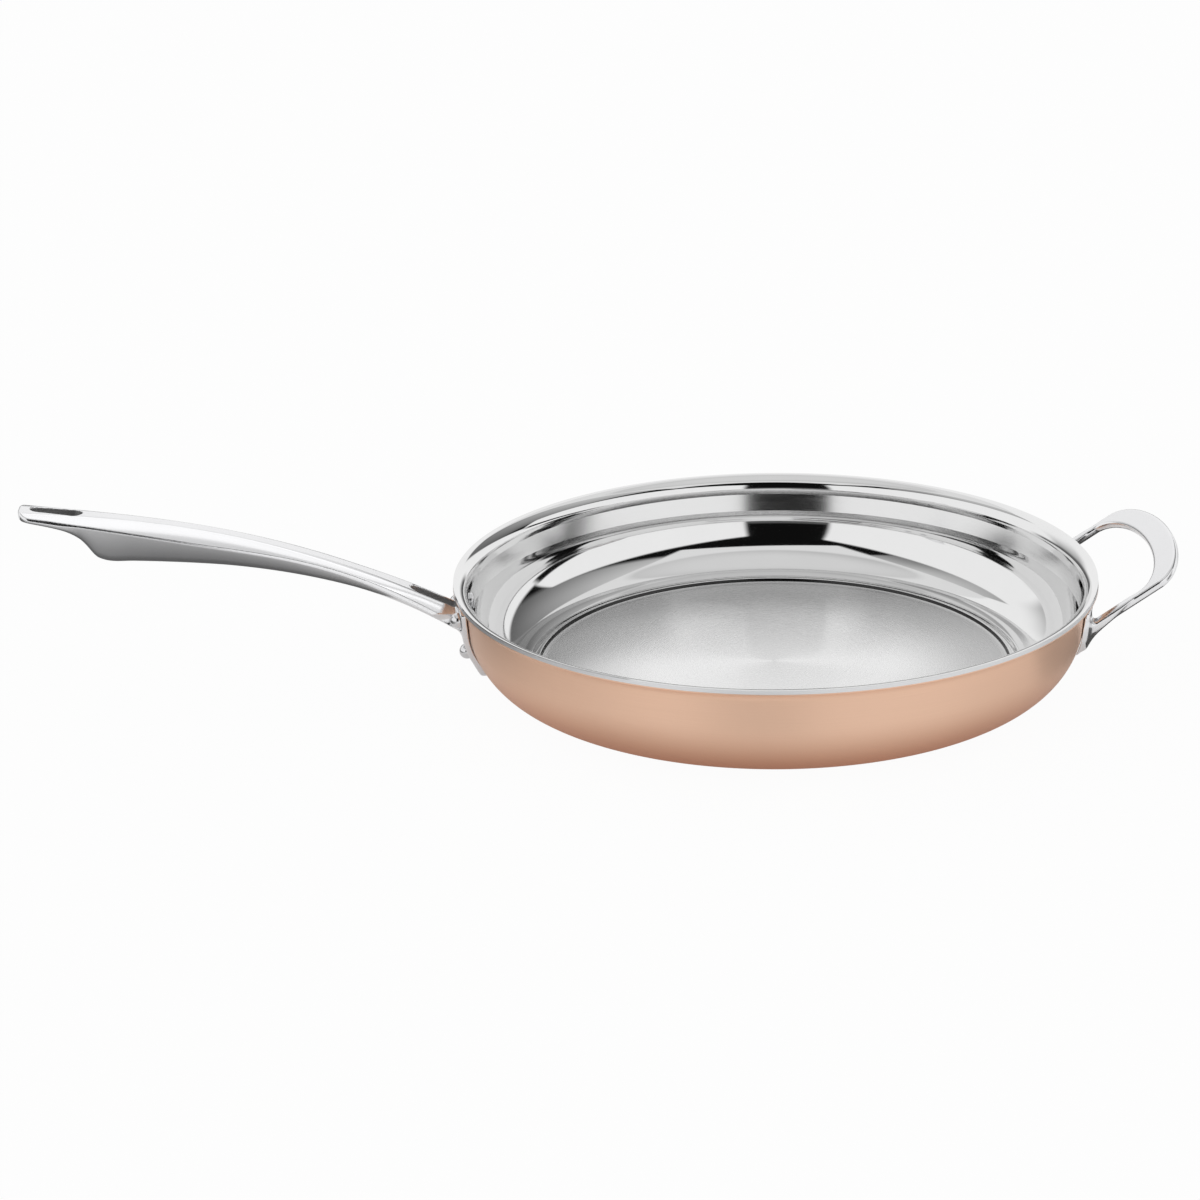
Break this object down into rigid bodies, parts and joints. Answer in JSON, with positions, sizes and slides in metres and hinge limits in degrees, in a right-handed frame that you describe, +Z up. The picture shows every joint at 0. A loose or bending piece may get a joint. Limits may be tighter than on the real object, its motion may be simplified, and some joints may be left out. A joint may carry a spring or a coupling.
{
  "type": "skillet",
  "caption": "Wide clad frying pan with a flared lip, brushed copper outside and steel inside, a cast long handle with a hang hole and a cast helper loop opposite.",
  "frame": {"origin": "centre of the flat underside", "axes": "+Z up out of the pan, -X along the long handle, +X to the helper loop, +Y to the back"},
  "size_m": [0.5551, 0.312, 0.0985],
  "materials": {
    "copper": "brushed copper, fine lines round the wall",
    "core": "rolled, seen only on the cut edge",
    "liner": "polished wall and lip, turned brush lines on the floor",
    "casting": "polished cast stainless steel",
    "rivet": "smooth stainless steel"
  },
  "bodies": {
    "root": {"copper_jacket": "copper", "aluminium_core": "core", "steel_liner": "liner", "long_handle": "casting", "helper_handle": "casting", "upper_rivet_front": "rivet", "upper_rivet_back": "rivet", "lower_rivet": "rivet"}
  },
  "joints": []
}
